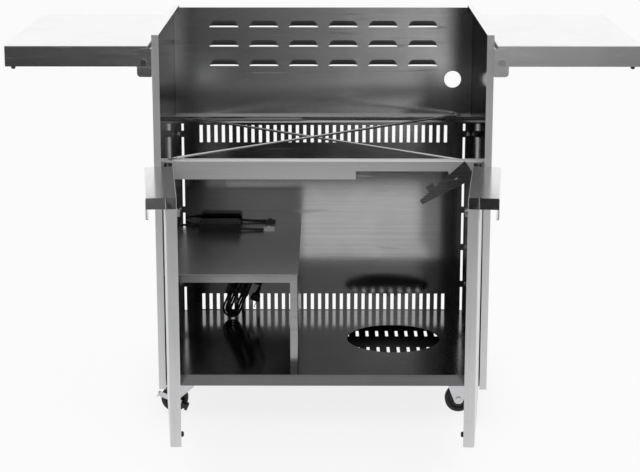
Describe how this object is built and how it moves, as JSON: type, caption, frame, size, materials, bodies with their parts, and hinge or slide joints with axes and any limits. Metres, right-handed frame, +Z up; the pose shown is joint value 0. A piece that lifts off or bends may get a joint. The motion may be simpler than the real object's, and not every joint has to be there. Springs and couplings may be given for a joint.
{
  "type": "grill cart",
  "caption": "Free-standing stainless grill cart with an open top, hinged doors, fold-down side shelves, an inner shelf, a floor hole for a gas tank, and casters.",
  "frame": {"origin": "on the floor, at the middle of the footprint with the doors open", "axes": "+Z up, the doors face -Y, +X to the right seen from the front"},
  "size_m": [1.416, 0.9296, 0.912],
  "materials": {
    "stainless": "brushed stainless sheet",
    "polished_stainless": "polished stainless sheet",
    "rod_steel": "bright drawn rod",
    "zinc_steel": "zinc plated",
    "fasteners": "bright plated",
    "wheel_rubber": "black moulded",
    "black_rubber": "matte",
    "black_plastic": "fine texture",
    "white_plastic": "moulded",
    "cord_jacket": "satin jacket"
  },
  "bodies": {
    "cabinet": {"left_side_panel": "polished_stainless", "right_side_panel": "polished_stainless", "rear_panel_upper": "stainless", "rear_panel_lower": "stainless", "rear_rail": "stainless", "front_rail": "stainless", "upper_cross_brace": "rod_steel", "lower_cross_brace": "rod_steel", "frame_screws": "fasteners", "regulator_bracket": "stainless", "floor_panel": "stainless", "base_pan": "stainless", "inner_shelf": "stainless", "hinge_brackets": "stainless", "hinge_pins": "fasteners", "door_magnets": "black_plastic", "shelf_brackets": "stainless", "shelf_pivots": "fasteners", "front_left_caster_plate": "zinc_steel", "rear_left_caster_plate": "zinc_steel", "front_right_caster_frame": "zinc_steel", "rear_right_caster_frame": "zinc_steel", "front_right_axle": "fasteners", "rear_right_axle": "fasteners", "caster_bolts": "fasteners", "transformer_base": "black_plastic", "transformer_case": "black_plastic", "mains_gland": "black_plastic", "mains_cord": "cord_jacket", "mains_hank": "cord_jacket", "hank_tie": "black_plastic", "mains_plug": "black_plastic", "output_lead": "cord_jacket", "output_connector": "white_plastic"},
    "left_door": {"left_door_skin": "stainless", "left_door_liner": "stainless", "left_door_pull": "stainless", "left_door_strike": "zinc_steel", "left_door_bumper": "black_rubber"},
    "right_door": {"right_door_skin": "stainless", "right_door_liner": "stainless", "right_door_pull": "stainless", "right_door_strike": "zinc_steel", "right_door_bumper": "black_rubber"},
    "left_shelf": {"left_shelf_pan": "stainless", "left_shelf_bumpers": "black_rubber"},
    "right_shelf": {"right_shelf_pan": "stainless", "right_shelf_bumpers": "black_rubber"},
    "front_left_caster": {"front_left_fork": "zinc_steel", "front_left_axle": "fasteners"},
    "front_left_roller": {"front_left_wheel": "wheel_rubber"},
    "front_left_brake": {"front_left_brake_lever": "zinc_steel", "front_left_brake_pedal": "black_plastic"},
    "front_right_roller": {"front_right_wheel": "wheel_rubber"},
    "rear_left_caster": {"rear_left_fork": "zinc_steel", "rear_left_axle": "fasteners"},
    "rear_left_roller": {"rear_left_wheel": "wheel_rubber"},
    "rear_left_brake": {"rear_left_brake_lever": "zinc_steel", "rear_left_brake_pedal": "black_plastic"},
    "rear_right_roller": {"rear_right_wheel": "wheel_rubber"}
  },
  "joints": [
    {"name": "left_door_hinge", "type": "hinge", "parent": "cabinet", "child": "left_door", "pos_m": [-0.352, -0.11074, 0.33], "axis": [0, 0, 1], "range_deg": [-11, 84]},
    {"name": "right_door_hinge", "type": "hinge", "parent": "cabinet", "child": "right_door", "pos_m": [0.352, -0.11074, 0.33], "axis": [0, 0, -1], "range_deg": [-11, 84]},
    {"name": "left_shelf_fold", "type": "hinge", "parent": "cabinet", "child": "left_shelf", "pos_m": [-0.398, 0.15326, 0.852], "axis": [0, -1, 0], "range_deg": [0, 90]},
    {"name": "right_shelf_fold", "type": "hinge", "parent": "cabinet", "child": "right_shelf", "pos_m": [0.398, 0.15326, 0.852], "axis": [0, 1, 0], "range_deg": [0, 90]},
    {"name": "front_left_swivel", "type": "hinge", "parent": "cabinet", "child": "front_left_caster", "pos_m": [-0.323, -0.02574, 0.075], "axis": [0, 0, 1], "continuous": true},
    {"name": "front_left_spin", "type": "hinge", "parent": "front_left_caster", "child": "front_left_roller", "pos_m": [-0.353, -0.02574, 0.032], "axis": [0, 1, 0], "continuous": true},
    {"name": "front_left_brake_tilt", "type": "hinge", "parent": "front_left_caster", "child": "front_left_brake", "pos_m": [-0.353, -0.02574, 0.032], "axis": [0, 1, 0], "range_deg": [0, 10]},
    {"name": "front_right_spin", "type": "hinge", "parent": "cabinet", "child": "front_right_roller", "pos_m": [0.323, -0.02574, 0.032], "axis": [0, 1, 0], "continuous": true},
    {"name": "rear_left_swivel", "type": "hinge", "parent": "cabinet", "child": "rear_left_caster", "pos_m": [-0.323, 0.36026, 0.075], "axis": [0, 0, 1], "continuous": true},
    {"name": "rear_left_spin", "type": "hinge", "parent": "rear_left_caster", "child": "rear_left_roller", "pos_m": [-0.353, 0.36026, 0.032], "axis": [0, 1, 0], "continuous": true},
    {"name": "rear_left_brake_tilt", "type": "hinge", "parent": "rear_left_caster", "child": "rear_left_brake", "pos_m": [-0.353, 0.36026, 0.032], "axis": [0, 1, 0], "range_deg": [0, 10]},
    {"name": "rear_right_spin", "type": "hinge", "parent": "cabinet", "child": "rear_right_roller", "pos_m": [0.323, 0.36026, 0.032], "axis": [0, 1, 0], "continuous": true}
  ]
}
